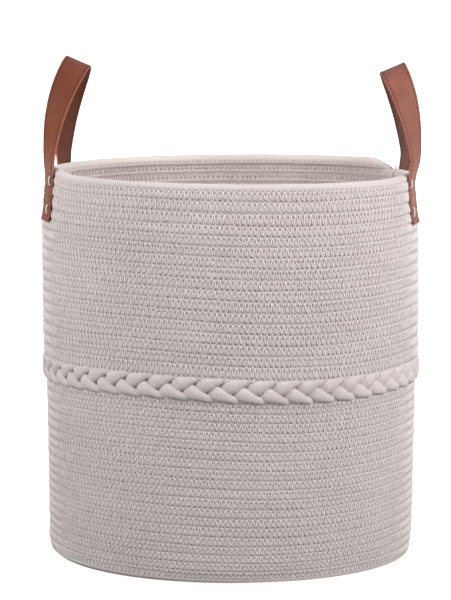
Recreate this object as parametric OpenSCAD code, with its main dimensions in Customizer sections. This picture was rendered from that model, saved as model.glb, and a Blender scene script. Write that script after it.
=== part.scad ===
// Open round laundry basket: coiled cotton rope sewn row to row, a three-strand plait let into the wall,
// and two leather strap handles lashed through the wall with white cord.
// Origin: centre of the base's underside. +Z is up, the front is -Y, the handles stand on -X and +X.

/* [Basket] */
// Outer diameter over the upper wall
basket_d = 390; // [370:1:410]
// How far the lower wall's face stands in under the plait
lower_step = 3; // [2:0.5:4]
// How much further the lower wall's face draws in towards the base
lower_taper = 2; // [0:0.5:4]
// How far the wall leans in at the rim
rim_inset = 5; // [3:0.5:7]
// Height over which the wall leans in below the rim
lean_h = 55; // [50:1:60]
// Height of the lower wall's underside above the floor
wall_lift = 4.4; // [4:0.1:5]

/* [Rope] */
// Rows of rope in the lower wall
lower_rows = 20; // [18:1:22]
// Height of one row in the lower wall
lower_pitch = 9.4; // [9:0.1:9.8]
// Thickness of the lower wall and of the base
lower_t = 9.4; // [9:0.1:9.8]
// Rows of rope in the upper wall, under the rim rope
upper_rows = 17; // [15:1:19]
// Height of one row in the upper wall
upper_pitch = 10.55; // [10.2:0.05:10.9]
// Thickness of the upper wall
upper_t = 10.4; // [10:0.1:10.8]
// Turns of rope in the base
base_rows = 19; // [17:1:21]
// Diameter of the rim rope
rim_d = 11.8; // [11.4:0.1:12.2]
// Depth of the groove between two rows
groove = 1.4; // [1.2:0.1:1.6]
// Direction in which the rim rope's end points its tip, from +X towards the back
rim_end_angle = 22; // [16:1:30]

/* [Plait] */
// Height of the gap between the walls that the plait fills
band_h = 16.4; // [15:0.1:18]
// Repeats of the plait around the basket
plait_repeats = 16; // [14:1:18]
// Width of one strand
strand_w = 10.4; // [9:0.1:11]
// Thickness of one strand
strand_t = 8; // [7:0.1:9]
// How far each strand swings up and down
plait_rise = 6.5; // [6:0.1:7]
// How far each strand swings in and out
plait_depth = 4.6; // [4.2:0.1:5]

/* [Handles] */
// Width of the strap
strap_w = 28; // [26:0.5:30]
// Thickness of each of the strap's two leathers
leather_t = 1.2; // [1:0.1:1.4]
// Thickness of the dark pad behind each strap end
pad_t = 1; // [0.8:0.1:1.2]
// How far each strap end reaches below the rim
end_drop = 53; // [50:1:55]
// Depth of the fold line below the rim's top
fold_drop = 3; // [3:0.5:5]
// Height of the left loop above its fold line
left_loop_h = 113; // [100:0.5:120]
// Height of the right loop above its fold line
right_loop_h = 106.5; // [100:0.5:120]
// How far the left loop's top leans in over the basket
left_loop_lean = 23.5; // [16:0.5:34]
// How far the right loop's top leans in over the basket
right_loop_lean = 20.5; // [16:0.5:34]
// How far the left loop bends in over the rim right above its fold line
left_set_in = 4; // [0:0.5:5]
// Angle by which the crown of the loop tips inward
crown_tip = 23; // [15:1:30]
// Half the angle between the left strap's two ends
left_half = 19.5; // [15:0.5:22]
// Half the angle between the right strap's two ends
right_half = 15.5; // [15:0.5:22]
// Angle by which the left handle sits behind -X
left_turn = 3.5; // [0:0.5:6]
// Angle by which the right handle sits behind +X
right_turn = 1; // [0:0.5:6]

/* [Thread] */
// Diameter of the seam thread as laid in a groove
thread_d = 0.9; // [0.7:0.1:1]
// Diameter of the white lashing cord
cord_d = 1.4; // [1.2:0.1:1.6]
// Length of one lashing stitch
stitch_l = 9; // [8:0.5:11]
// Depth of the upper lashing stitch below the rim
stitch_1 = 12; // [11:0.5:16]
// Depth of the lower lashing stitch below the rim
stitch_2 = 41; // [40:0.5:44]
// Angle by which the lashings sit in front of the middle of each strap end
stitch_turn = 2; // [0:0.5:2.5]

/* [Hidden] */

// Colours of the cotton, the threads and the leathers
rope_upper = [0.85, 0.81, 0.80];
rope_lower = [0.80, 0.76, 0.75];
thread_colour = [0.90, 0.87, 0.86];
leather_colour = [0.50, 0.27, 0.18];
lining_colour = [0.40, 0.21, 0.16];
stitch_colour = [0.30, 0.16, 0.11];
pad_colour = [0.13, 0.11, 0.11];
cord_colour = [0.94, 0.92, 0.88];

// Heights of the wall's stretches above the floor
lower_top = wall_lift + lower_rows * lower_pitch;
upper_bottom = lower_top + band_h;
upper_top = upper_bottom + upper_rows * upper_pitch;
height = upper_top + rim_d;
plait_z = (lower_top + upper_bottom) / 2;
plait_r = basket_d / 2 - 6.5;
fold_z = height - fold_drop;

// Share of a row's height that its flat crown takes, to each side of its middle
crown = 0.3;
// Sides of a laid thread, which the rows on each side press flat
thread_sides = 6;
// Room between a thread's centre and the bottom of its groove
thread_seat = 0.65;
// Room kept between the wall and what is lashed to it, and between two glued layers
wall_gap = 0.4;
glue_gap = 0.05;
// Room kept between the strap's fixed end, its fold line and its loop
end_gap = 1.5;
loop_gap = 1;

// Outer radius of the wall's crowns at a height
function upper_r(z) = basket_d / 2 - rim_inset * max(0, (z - height + lean_h) / lean_h);
function lower_r(z) = basket_d / 2 - lower_step - lower_taper * (1 - z / lower_top);
function wall_r(z) = z > plait_z ? upper_r(z) : lower_r(z);

base_r = lower_r(wall_lift + lower_pitch / 2) - lower_t;
base_pitch = base_r / base_rows;
rim_z = upper_top + rim_d / 2;
rim_r = upper_r(rim_z);

// ---- coiled rope -------------------------------------------------------------------------------

// Outline of a stack of rows: up the outside, then down the inside
function row_zs(z0, rows, pitch) = [for (i = [0:rows - 1]) z0 + (i + 0.5) * pitch];
function outside(z0, rows, pitch) = [
    for (z = row_zs(z0, rows, pitch)) each [
        [wall_r(z - pitch / 2) - groove, z - pitch / 2],
        [wall_r(z), z - crown * pitch],
        [wall_r(z), z + crown * pitch]
    ],
    [wall_r(z0 + rows * pitch) - groove, z0 + rows * pitch]
];
function inside(z0, rows, pitch, thick) = [
    [wall_r(z0 + rows * pitch) - thick + groove, z0 + rows * pitch],
    for (i = [rows - 1:-1:0]) let (z = z0 + (i + 0.5) * pitch) each [
        [wall_r(z) - thick, z + crown * pitch],
        [wall_r(z) - thick, z - crown * pitch],
        [wall_r(z - pitch / 2) - thick + groove, z - pitch / 2]
    ]
];

module coil_wall(z0, rows, pitch, thick)
    rotate_extrude($fn = 144)
        polygon(concat(outside(z0, rows, pitch), inside(z0, rows, pitch, thick)));

// One ring of thread in the groove at this height, on the outside and on the inside
module seam_ring(z, thick) {
    rotate_extrude($fn = 144) {
        translate([wall_r(z) - groove + thread_seat, z]) circle(d = thread_d, $fn = thread_sides);
        translate([wall_r(z) - thick + groove - thread_seat, z]) circle(d = thread_d, $fn = thread_sides);
    }
}

module base_coil() {
    bottom = [
        for (k = [0:base_rows - 1]) let (r = (k + 0.5) * base_pitch) each [
            [r - base_pitch / 2, groove],
            [r - crown * base_pitch, 0],
            [r + crown * base_pitch, 0]
        ],
        [base_r, groove]
    ];
    top = [for (i = [len(bottom) - 1:-1:0]) [bottom[i][0], lower_t - bottom[i][1]]];
    color(rope_lower) rotate_extrude($fn = 144) polygon(concat(bottom, top));
}

module base_seam_thread() {
    color(thread_colour) for (k = [1:base_rows - 1]) rotate_extrude($fn = 144) {
        translate([k * base_pitch, groove - thread_seat]) circle(d = thread_d, $fn = thread_sides);
        translate([k * base_pitch, lower_t - groove + thread_seat]) circle(d = thread_d, $fn = thread_sides);
    }
}

module lower_wall_coil() {
    color(rope_lower) coil_wall(wall_lift, lower_rows, lower_pitch, lower_t);
}

module lower_wall_seam_thread() {
    color(thread_colour) for (i = [1:lower_rows - 1]) seam_ring(wall_lift + i * lower_pitch, lower_t);
}

module upper_wall_coil() {
    color(rope_upper) coil_wall(upper_bottom, upper_rows, upper_pitch, upper_t);
}

module upper_wall_seam_thread() {
    color(thread_colour) for (i = [1:upper_rows - 1]) seam_ring(upper_bottom + i * upper_pitch, upper_t);
}

// ---- sweeps ------------------------------------------------------------------------------------

function unit(v) = v / norm(v);

// Triangles of a tube's side: n rings of s points, joined end to start if it is closed.
// The far half of the section is cut along the other diagonal, so a twisting band keeps its thickness.
function side_faces(n, s, closed) = [
    for (i = [0:n - (closed ? 1 : 2)], j = [0:s - 1])
        let (a = i * s, b = ((i + 1) % n) * s, k = (j + 1) % s, near = j < s / 2) each [
            [a + j, a + k, near ? b + k : b + j],
            [near ? a + j : a + k, b + k, b + j]
        ]
];
function cap_faces(n, s) = [
    for (j = [1:s - 2]) each [
        [0, j + 1, j],
        [(n - 1) * s, (n - 1) * s + j, (n - 1) * s + j + 1]
    ]
];

module tube(rings, closed) {
    n = len(rings);
    s = len(rings[0]);
    polyhedron(
        points = [for (ring = rings) each ring],
        faces = concat(side_faces(n, s, closed), closed ? [] : cap_faces(n, s))
    );
}

// Round or oval section at a place, across two directions
function oval(p, across, out, w, t, sides) =
    [for (j = [0:sides - 1]) let (q = 360 * j / sides) p + across * (w / 2 * cos(q)) + out * (t / 2 * sin(q))];

// ---- plait -------------------------------------------------------------------------------------

strand_sides = 6;
rings_per_repeat = 12;

function strand_point(k, a) =
    let (t = plait_repeats * a + 120 * k, r = plait_r + plait_depth * sin(2 * t))
    [r * cos(a), r * sin(a), plait_z + plait_rise * sin(t)];

module plait_strand(k) {
    n = plait_repeats * rings_per_repeat;
    rings = [
        for (i = [0:n - 1])
            let (
                a = 360 * i / n,
                p = strand_point(k, a),
                along = unit(strand_point(k, a + 0.1) - strand_point(k, a - 0.1)),
                across = unit(cross([cos(a), sin(a), 0], along))
            )
            oval(p, across, cross(along, across), strand_w, strand_t, strand_sides)
    ];
    color(rope_upper) tube(rings, true);
}

// Thread rings where the plait meets the wall below and above it
module plait_seam_thread(z, thick) {
    color(thread_colour) seam_ring(z, thick);
}

// ---- rim ---------------------------------------------------------------------------------------

rim_taper = 12;
rim_tip_d = 5;
rim_step = 6;

// Diameter of the rim rope at an angle along it: it runs out to a flattened tip over rim_taper degrees
function rim_rope_d_at(a) =
    let (x = min(1, (a - rim_end_angle) / rim_taper))
    rim_tip_d + (rim_d - 0.1 - rim_tip_d) * x * x * (3 - 2 * x);

module rim_rope() {
    stop = rim_end_angle + 358;
    angles = concat(
        [for (a = [rim_end_angle:rim_step / 2:rim_end_angle + rim_taper]) a],
        [for (a = [rim_end_angle + rim_taper + rim_step:rim_step:stop - 1]) a],
        [stop]
    );
    rings = [
        for (a = angles)
            let (d = rim_rope_d_at(a), out = [cos(a), sin(a), 0], r = rim_r - rim_d / 2)
            oval(out * r + [0, 0, upper_top + d / 2 + 0.05], out, [0, 0, 1], d, d, 12)
    ];
    color(rope_upper) tube(rings, false);
}

module rim_seam_thread() {
    color(thread_colour) seam_ring(upper_top, upper_t);
}

// Three short bars of thread that hold the rim rope's tip down
module rim_end_tack() {
    tack_l = 8;
    tack_lift = 1.1;
    color(thread_colour) for (i = [0:2]) {
        a = rim_end_angle + 1.5 + i * 1.6;
        rotate([0, 0, a])
            translate([rim_r - rim_d / 2 - tack_l / 2, 0, upper_top + rim_rope_d_at(a) + tack_lift])
                rotate([0, 90, 0]) cylinder(d = thread_d, h = tack_l, $fn = thread_sides);
    }
}

// ---- handles -----------------------------------------------------------------------------------

// side is -1 for the left handle and 1 for the right one; end is -1 for its front end and 1 for its rear
function half(side) = side < 0 ? left_half : right_half;
function turn(side) = side < 0 ? left_turn : right_turn;
function outward(side) = [side * cos(turn(side)), sin(turn(side)), 0];
function rearward(side) = [-side * sin(turn(side)), cos(turn(side)), 0];

// The loop's leathers meet on a surface that starts flat against the rim and stands clear of it
function loop_half_gap(side) = (rim_r + 2) * sin(half(side));
function fold_face(side) =
    let (near = loop_half_gap(side) - strap_w / 2)
    sqrt(rim_r * rim_r - near * near) + 0.6 + leather_t + glue_gap;

loop_rings = 36;
// How squarely the loop's legs pass into its crown, how late it leans in, and how soon it turns flat
crown_power = 0.9;
lean_power = 2.2;
twist_power = 0.75;
// Height over which the loop bends in over the rim
set_in_h = 6;
function loop_h(side) = side < 0 ? left_loop_h : right_loop_h;
function loop_lean(side) = side < 0 ? left_loop_lean : right_loop_lean;
function set_in(side) = side < 0 ? left_set_in : 0;

// How far along the loop's arch a ring lies, from 0 at the front fold to 180 at the rear one
function loop_angle(side, i) =
    let (first = asin(loop_gap / loop_h(side))) first + (180 - 2 * first) * i / (loop_rings - 1);
function loop_point(side, q) =
    let (
        c = cos(q),
        h = loop_h(side) * sin(q),
        u = -loop_half_gap(side) * sign(c) * pow(abs(c), crown_power),
        bend = set_in(side) * (1 - exp(-h / set_in_h)),
        w = fold_face(side) - bend - loop_lean(side) * pow(max(0, sin(q)), lean_power)
    )
    rearward(side) * u + outward(side) * w + [0, 0, fold_z + h];
function loop_twist(q) =
    let (x = 90 * (1 - pow(1 - sin(q), twist_power))) q < 90 ? x : 180 - x;

// [place, across, face normal] of the strap at an angle along the arch
function strap_frame(side, q) =
    let (
        along = unit(loop_point(side, min(180, q + 0.2)) - loop_point(side, max(0, q - 0.2))),
        tip = crown_tip * sin(q),
        lean_out = outward(side) * cos(tip) + [0, 0, sin(tip)],
        raw = -rearward(side) * cos(loop_twist(q)) - lean_out * sin(loop_twist(q)),
        across = unit(raw - along * (raw * along)),
        face = cross(across, along) * -side
    )
    [loop_point(side, q), across, face];

// A band that follows the loop: between two widths across it and two heights off the glue surface
module loop_band(side, across_0, across_1, off_0, off_1) {
    rings = [
        for (i = [0:loop_rings - 1])
            let (f = strap_frame(side, loop_angle(side, i)))
            [
                f[0] + f[1] * across_0 + f[2] * off_0,
                f[0] + f[1] * across_1 + f[2] * off_0,
                f[0] + f[1] * across_1 + f[2] * off_1,
                f[0] + f[1] * across_0 + f[2] * off_1
            ]
    ];
    tube(side < 0 ? rings : [for (ring = rings) [ring[1], ring[0], ring[3], ring[2]]], false);
}

module loop_leather(side) {
    color(leather_colour) loop_band(side, -strap_w / 2, strap_w / 2, glue_gap, leather_t);
}

module loop_lining(side) {
    color(lining_colour) loop_band(side, -strap_w / 2, strap_w / 2, -leather_t, 0);
}

// Two rows of stitching on each face, one along each edge
module loop_edge_stitching(side) {
    edge = strap_w / 2 - 2.4;
    wide = 0.7;
    proud = 0.5;
    color(stitch_colour) for (e = [-1, 1]) {
        loop_band(side, e * edge - wide / 2, e * edge + wide / 2, leather_t + 0.05, leather_t + proud);
        loop_band(side, e * edge - wide / 2, e * edge + wide / 2, -leather_t - proud, -leather_t - 0.05);
    }
}

function end_azimuth(side, end) =
    let (middle = side < 0 ? 180 - turn(side) : turn(side)) middle + side * end * half(side);

// A curved plate on the leaning wall, from one distance off the crowns to another
module end_plate(side, end, off_0, off_1, margin) {
    low = height - end_drop + margin;
    high = fold_z - end_gap - margin;
    arc = (strap_w - 2 * margin) / upper_r(low) * 180 / PI;
    rotate([0, 0, end_azimuth(side, end) - arc / 2])
        rotate_extrude(angle = arc, $fn = 144)
            polygon([
                [upper_r(low) + off_0, low],
                [upper_r(low) + off_1, low],
                [upper_r(high) + off_1, high],
                [upper_r(high) + off_0, high]
            ]);
}

pad_off = wall_gap + pad_t;
lining_off = pad_off + glue_gap + leather_t;
leather_off = lining_off + glue_gap + leather_t;

module end_pad(side, end) {
    color(pad_colour) end_plate(side, end, wall_gap, pad_off, 1);
}

module end_lining(side, end) {
    color(lining_colour) end_plate(side, end, pad_off + glue_gap, lining_off, 0);
}

module end_leather(side, end) {
    color(leather_colour) end_plate(side, end, lining_off + glue_gap, leather_off, 0);
}

// One closed loop of cord: along the strap, through the wall and along its inside
module lashing_stitch(z) {
    outer = upper_r(z) + leather_off + cord_d / 2 + 0.3;
    inner = upper_r(z) - upper_t - cord_d / 2;
    for (x = [inner, outer]) {
        translate([x, 0, z - stitch_l / 2]) cylinder(d = cord_d, h = stitch_l, $fn = 24);
        for (e = [-1, 1]) translate([x, 0, z + e * stitch_l / 2]) sphere(d = cord_d, $fn = 24);
    }
    for (e = [-1, 1])
        translate([inner, 0, z + e * stitch_l / 2])
            rotate([0, 90, 0]) cylinder(d = cord_d, h = outer - inner, $fn = 24);
}

module lashing(side, end) {
    color(cord_colour) rotate([0, 0, end_azimuth(side, end) - side * stitch_turn]) {
        lashing_stitch(height - stitch_1);
        lashing_stitch(height - stitch_2);
    }
}

base_coil();
base_seam_thread();
lower_wall_coil();
lower_wall_seam_thread();
plait_strand(0);  // plait_strand_1
plait_strand(1);  // plait_strand_2
plait_strand(2);  // plait_strand_3
plait_seam_thread(lower_top, lower_t);  // plait_lower_seam_thread
plait_seam_thread(upper_bottom, upper_t);  // plait_upper_seam_thread
upper_wall_coil();
upper_wall_seam_thread();
rim_rope();
rim_seam_thread();
rim_end_tack();
loop_leather(-1);  // left_loop_leather
loop_lining(-1);  // left_loop_lining
loop_edge_stitching(-1);  // left_loop_edge_stitching
end_leather(-1, -1);  // left_front_end_leather
end_lining(-1, -1);  // left_front_end_lining
end_pad(-1, -1);  // left_front_end_pad
lashing(-1, -1);  // left_front_lashing
end_leather(-1, 1);  // left_rear_end_leather
end_lining(-1, 1);  // left_rear_end_lining
end_pad(-1, 1);  // left_rear_end_pad
lashing(-1, 1);  // left_rear_lashing
loop_leather(1);  // right_loop_leather
loop_lining(1);  // right_loop_lining
loop_edge_stitching(1);  // right_loop_edge_stitching
end_leather(1, -1);  // right_front_end_leather
end_lining(1, -1);  // right_front_end_lining
end_pad(1, -1);  // right_front_end_pad
lashing(1, -1);  // right_front_lashing
end_leather(1, 1);  // right_rear_end_leather
end_lining(1, 1);  // right_rear_end_lining
end_pad(1, 1);  // right_rear_end_pad
lashing(1, 1);  // right_rear_lashing
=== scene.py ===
import math

import bpy
import numpy as np
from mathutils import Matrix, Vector
from mathutils.bvhtree import BVHTree


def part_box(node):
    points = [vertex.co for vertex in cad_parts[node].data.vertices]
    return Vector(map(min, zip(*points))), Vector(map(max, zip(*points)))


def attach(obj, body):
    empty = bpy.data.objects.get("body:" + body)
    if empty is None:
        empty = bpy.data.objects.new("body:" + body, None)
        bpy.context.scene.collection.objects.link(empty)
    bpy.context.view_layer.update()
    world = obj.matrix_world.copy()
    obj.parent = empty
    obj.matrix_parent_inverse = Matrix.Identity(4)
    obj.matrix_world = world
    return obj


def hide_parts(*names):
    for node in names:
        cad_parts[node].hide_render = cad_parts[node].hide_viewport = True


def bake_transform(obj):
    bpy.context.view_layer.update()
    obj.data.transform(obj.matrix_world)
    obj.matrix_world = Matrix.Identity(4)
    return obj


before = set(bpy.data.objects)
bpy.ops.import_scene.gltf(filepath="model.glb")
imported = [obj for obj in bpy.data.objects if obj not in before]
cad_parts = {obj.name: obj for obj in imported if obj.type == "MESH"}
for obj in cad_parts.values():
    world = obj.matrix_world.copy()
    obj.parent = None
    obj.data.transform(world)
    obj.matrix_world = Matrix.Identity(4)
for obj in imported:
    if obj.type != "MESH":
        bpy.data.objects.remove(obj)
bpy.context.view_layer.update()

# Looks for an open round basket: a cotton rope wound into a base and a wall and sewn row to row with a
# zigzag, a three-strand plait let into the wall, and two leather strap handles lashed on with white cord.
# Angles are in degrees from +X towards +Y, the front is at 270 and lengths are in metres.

MM = 0.001

# ---- sizes taken from the frame ----------------------------------------------------------------

UPPER_BOTTOM, UPPER_TOP = (corner.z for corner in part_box("upper_wall_coil"))
LOWER_BOTTOM, LOWER_TOP = (corner.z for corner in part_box("lower_wall_coil"))
WALL_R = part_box("upper_wall_coil")[1].x
LOWER_WALL_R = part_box("lower_wall_coil")[1].x
BASE_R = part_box("base_coil")[1].x
BASE_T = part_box("base_coil")[1].z
RIM_D = 11.8 * MM
HEIGHT = UPPER_TOP + RIM_D

# ---- the rope ----------------------------------------------------------------------------------

UPPER_ROWS = 17
LOWER_ROWS = 20
BASE_ROWS = 19
UPPER_PITCH = (UPPER_TOP - UPPER_BOTTOM) / UPPER_ROWS
LOWER_PITCH = (LOWER_TOP - LOWER_BOTTOM) / LOWER_ROWS
BASE_PITCH = BASE_R / BASE_ROWS
UPPER_T = 10.4 * MM
# The wall leans in towards the rim by RIM_INSET, over its top LEAN_H
LEAN_H = 55 * MM
RIM_INSET = 5 * MM
# The lower wall narrows by TAPER towards its foot, and its lowest FOOT_H curls in by FOOT_INSET
TAPER = 2 * MM
FOOT_H = 22 * MM
FOOT_INSET = 1.6 * MM
THINNEST = 0.8 * MM
# The base's rope comes this close to the axis, and its rings are spaced as on at least this radius
AXIS_R = 0.02 * MM
TIGHTEST_R = 6 * MM

# The rope climbs as its angle falls. Its last turn ends at RIM_END over a taper, the plait's step and
# the rope ends that it covers lie at the back, and each rope's angle is counted down from its top end.
TURN = 360
RIM_END = 22.0
RIM_TAPER = 13.0
STEP_AT = 90.0
STEP_SPAN = 40.0
STEP_LOW = STEP_AT - STEP_SPAN / 2
STEP_HIGH = STEP_AT + STEP_SPAN / 2

STITCH = 5.4 * MM
GRID = STITCH / 4
# The levels of the zigzag's holes, in the row above the seam and in the row below it
UPPER_HOLE, LOWER_HOLE = -0.36, -0.12
HOLE_DEPTH = 1.3 * MM
THREAD_D = 1.15 * MM

# Levels up and down one row, as shares of its half height: outer face upwards, then inner face downwards
OUTER_LEVELS = (-1.02, -0.88, -0.66, -0.36, -0.12, 0.12, 0.36, 0.66, 0.88, 0.97, 1.02)
INNER_LEVELS = (0.97, 0.88, 0.66, 0.36, 0.12, -0.12, -0.36, -0.66, -1.02)
LEVELS = np.array(OUTER_LEVELS + INNER_LEVELS)
FACES = np.array([1.0] * len(OUTER_LEVELS) + [-1.0] * len(INNER_LEVELS))
GROOVE_SHARE = 0.24
ROW_POWER = 4.5

# The rows beside the plait bulge against it by this much
PRESS = 2.2 * MM
UPPER_START = STEP_HIGH + TURN * (UPPER_ROWS + 1)
# The lashings pull the wall in by so many millimetres at each strap end
LASHED_IN = ((-14.5, 2.4), (16.5, 1.6), (157, 1.2), (196, 1.3))
# The rows' sag in waves round the basket: the number of waves and their share of the whole
SAG_WAVES = ((1, 0.14), (2, 0.41), (3, 0.42), (4, 0.18))


def smooth(x):
    x = np.clip(x, 0, 1)
    return x * x * (3 - 2 * x)


def mix(a, b, share):
    return a + (b - a) * share


def ripple(angle, seed):
    """The slow unevenness of hand work along a rope or round the wall, roughly from -1 to 1."""
    rng = np.random.default_rng(seed)
    total = 0
    for cycles in (0.37, 1.3, 2.9, 5.3, 9.7, 17.1):
        total = total + rng.uniform(0.4, 1) * np.sin(np.radians(angle) * cycles + rng.uniform(0, 2 * math.pi))
    return total / 3


def helix(angle):
    """How far the rope stands above its level row at this angle, in pitches."""
    return 0.5 - (angle - RIM_END) / TURN


def plait_step(azimuth):
    """The same for the plait, which comes back to its start in a smooth step at the back."""
    a = (azimuth - STEP_LOW) % TURN + STEP_LOW
    low_end, high_end = helix(STEP_LOW + TURN), helix(STEP_HIGH)
    return np.where(a < STEP_HIGH, mix(low_end, high_end, smooth((a - STEP_LOW) / STEP_SPAN)), helix(a))


def section(level, face=1):
    """Half the thickness of a row at a level, as a share: sewn rows are pressed flat, with shallow grooves
    that are shallower still on the inside."""
    return 1 - GROOVE_SHARE * np.where(face > 0, 1, 0.6) * np.clip(np.abs(level), 0, 1) ** ROW_POWER


def upper_wall_r(z):
    return WALL_R - RIM_INSET * np.clip((z - HEIGHT + LEAN_H) / LEAN_H, 0, 1.1)


def lower_wall_r(z):
    return LOWER_WALL_R - TAPER * (1 - z / LOWER_TOP) - FOOT_INSET * (1 - smooth(z / FOOT_H))


def upper_rope(angle):
    """Centre radius and height, half height and half thickness of the upper rope, and how round it is."""
    pitch = UPPER_PITCH
    z = UPPER_TOP + pitch / 2 + pitch * helix(angle)
    half_h = np.full_like(z, pitch / 2)
    rim = 1 - smooth((angle - RIM_END - 320) / 45)
    z = z + rim * (RIM_D - pitch) / 2
    half_h = mix(half_h, RIM_D / 2, rim)
    taper = mix(0.16, 1, np.sin(math.pi / 2 * np.clip((angle - RIM_END) / RIM_TAPER, 0, 1)) ** 1.3)
    z = np.where(angle < RIM_END + RIM_TAPER, UPPER_TOP + pitch * helix(angle) + RIM_D / 2 * taper, z)
    half_h = half_h * taper
    half_t = mix(UPPER_T / 2, RIM_D / 2, rim) * mix(0.55, 1, taper)
    start = angle > STEP_LOW + TURN * (UPPER_ROWS + 1)
    top = UPPER_TOP + pitch * helix(angle - TURN)
    bottom = UPPER_BOTTOM + pitch * plait_step(angle)
    thin = np.maximum((top - bottom) / 2, THINNEST)
    z = np.where(start, top - thin, z)
    half_h = np.where(start, thin, half_h)
    last = PRESS / 2 * smooth((angle - UPPER_START + 400) / 30)
    z, half_h = z - last, half_h + last
    return upper_wall_r(z) - mix(UPPER_T / 2, RIM_D / 2, rim), z, half_h, half_t, rim


def lower_rope(angle):
    pitch = LOWER_PITCH
    z = LOWER_TOP - pitch / 2 + pitch * helix(angle)
    half_h = np.full_like(z, pitch / 2)
    end = angle < STEP_HIGH
    bottom = LOWER_TOP + pitch * helix(angle + TURN)
    top = LOWER_TOP + pitch * plait_step(angle)
    thin = np.maximum((top - bottom) / 2, THINNEST)
    z = np.where(end, bottom + thin, z)
    half_h = np.where(end, thin, half_h)
    first = PRESS / 2 * smooth((STEP_LOW + 400 - angle) / 30)
    z, half_h = z + first, half_h + first
    z = np.maximum(z, BASE_T / 2)
    return lower_wall_r(z) - BASE_T / 2, z, half_h, np.full_like(z, BASE_T / 2), np.zeros_like(z)


LOWER_START = RIM_END + TURN * LOWER_ROWS
JOIN_R = float(lower_rope(np.array([LOWER_START]))[0][0])


def base_r(angle):
    """Centre radius of the base's rope, which winds inwards from where the wall's lowest row starts."""
    return JOIN_R - BASE_PITCH * (angle - LOWER_START) / TURN


# The base is sewn up to BASE_END, and the rope's last turn inside that closes the centre
BASE_END = LOWER_START + TURN * (JOIN_R - 0.55 * BASE_PITCH) / BASE_PITCH
CORE_END = BASE_END + TURN


def beside(azimuth, place, width):
    """1 at a place round the basket, falling to 0 over about twice the width to each side of it."""
    return np.exp(-(((azimuth - place + 180) % 360 - 180) / width) ** 2)


def swell(azimuth, height):
    """How far the soft wall stands out of round. height is a share of the basket's height."""
    lashed = sum(size * beside(azimuth, place, 9) for place, size in LASHED_IN)
    return (0.7 * np.sin(np.radians(2 * azimuth + 140)) * height - lashed * smooth((height - 0.78) / 0.14)
            + 0.5 * np.sin(np.radians(3 * azimuth + 40 + 160 * height))
            + 0.4 * np.sin(np.radians(5 * azimuth + 250 * height))) * MM


def settle(points):
    """The soft basket's shape: out of round, and with rows that rise and sag as they were sewn."""
    x, y, z = points[..., 0], points[..., 1], points[..., 2]
    azimuth = np.degrees(np.arctan2(y, x))
    right = np.radians(azimuth - 270)
    beam = np.sin(right) ** 2
    height = z / HEIGHT
    proud = swell(azimuth, height) * smooth(z / (40 * MM))
    scale = 1 + proud / np.maximum(np.hypot(x, y), 20 * MM)
    sag = sum(share * np.sin(waves * right) for waves, share in SAG_WAVES)
    sag = 3.0 * sag * np.sin(math.pi * np.clip(height, 0, 1)) ** 0.6
    rise = np.interp(height, (0, 0.1, 0.83, 0.93, 0.97, 1), (0, -1.3, 4.9, 3.7, 2.5, 0))
    low = 4.0 * np.clip(height / 0.1, 0, 1) * (1 - smooth((height - 0.89) / 0.065))
    low = low * (1 - 0.9 * beam * (1 - smooth((height - 0.08) / 0.2)))
    sides = 2.4 * beam * smooth((height - 0.4) / 0.3) * (1 - smooth((height - 0.85) / 0.15))
    drop = 1.6 * np.sin(right) * smooth(z / (60 * MM)) * np.clip(1 - height, 0, 1)
    corner = 3.6 * beside(azimuth, 195, 10) * smooth((height - 0.84) / 0.12)
    back = 2.2 * np.clip(np.sin(np.radians(azimuth)), 0, 1) ** 1.5 * smooth((height - 0.86) / 0.12)
    return np.stack([x * scale, y * scale, z + (rise - low + sides - sag + drop + corner - back) * MM], -1)


def row_point(rope, angle, level, face, lift=0.0):
    """A point on a wall rope's surface: level -1 to 1 up the row, face 1 outside and -1 inside."""
    r, z, half_h, half_t, rim = rope(angle)
    r = r + 0.22 * MM * ripple(angle, 2)
    z = z + 0.22 * MM * ripple(angle, 3) * smooth((z - 12 * MM) / (20 * MM))
    half_t = half_t * (1 + 0.02 * ripple(angle, 4))
    size = np.clip(np.abs(level), 0, 1)
    wander = 0.13 * np.where(level < 0, ripple(angle, 6), ripple(angle - 360, 6))
    level = level + wander * 4 * size * (1 - size)
    width = mix(section(level, face), (1 - size**2.2) ** (1 / 2.2), rim * smooth(level * 2 + 0.6))
    out = r + face * (half_t * width + lift)
    a = np.radians(angle)
    return settle(np.stack([out * np.cos(a), out * np.sin(a), z + half_h * level], -1))


def base_point(angle, level, face, lift=0.0):
    """A point on the base's rope: level -1 to 1 outwards across the turn, face 1 on top, -1 underneath."""
    r = base_r(angle) + 0.15 * MM * ripple(angle, 5)
    out = np.maximum(r + BASE_PITCH / 2 * level, AXIS_R)
    a = np.radians(angle)
    z = BASE_T / 2 + face * (BASE_T / 2 * section(level) + lift)
    return np.stack([out * np.cos(a), out * np.sin(a), z + 0 * out], -1)


def rope_grid(radius_at, start, end):
    """Angles along a rope, one every GRID of its length."""
    coarse = np.linspace(start, end, 4000)
    r = np.maximum(radius_at(coarse), TIGHTEST_R)
    length = np.concatenate([[0], np.cumsum(np.radians(np.diff(coarse)) * (r[1:] + r[:-1]) / 2)])
    return np.interp(np.arange(0, length[-1], GRID), length, coarse)


def nearest(grid, angles):
    i = np.clip(np.searchsorted(grid, angles), 1, len(grid) - 1)
    return np.where(angles - grid[i - 1] < grid[i] - angles, i - 1, i)


# ---- meshes ------------------------------------------------------------------------------------


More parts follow.
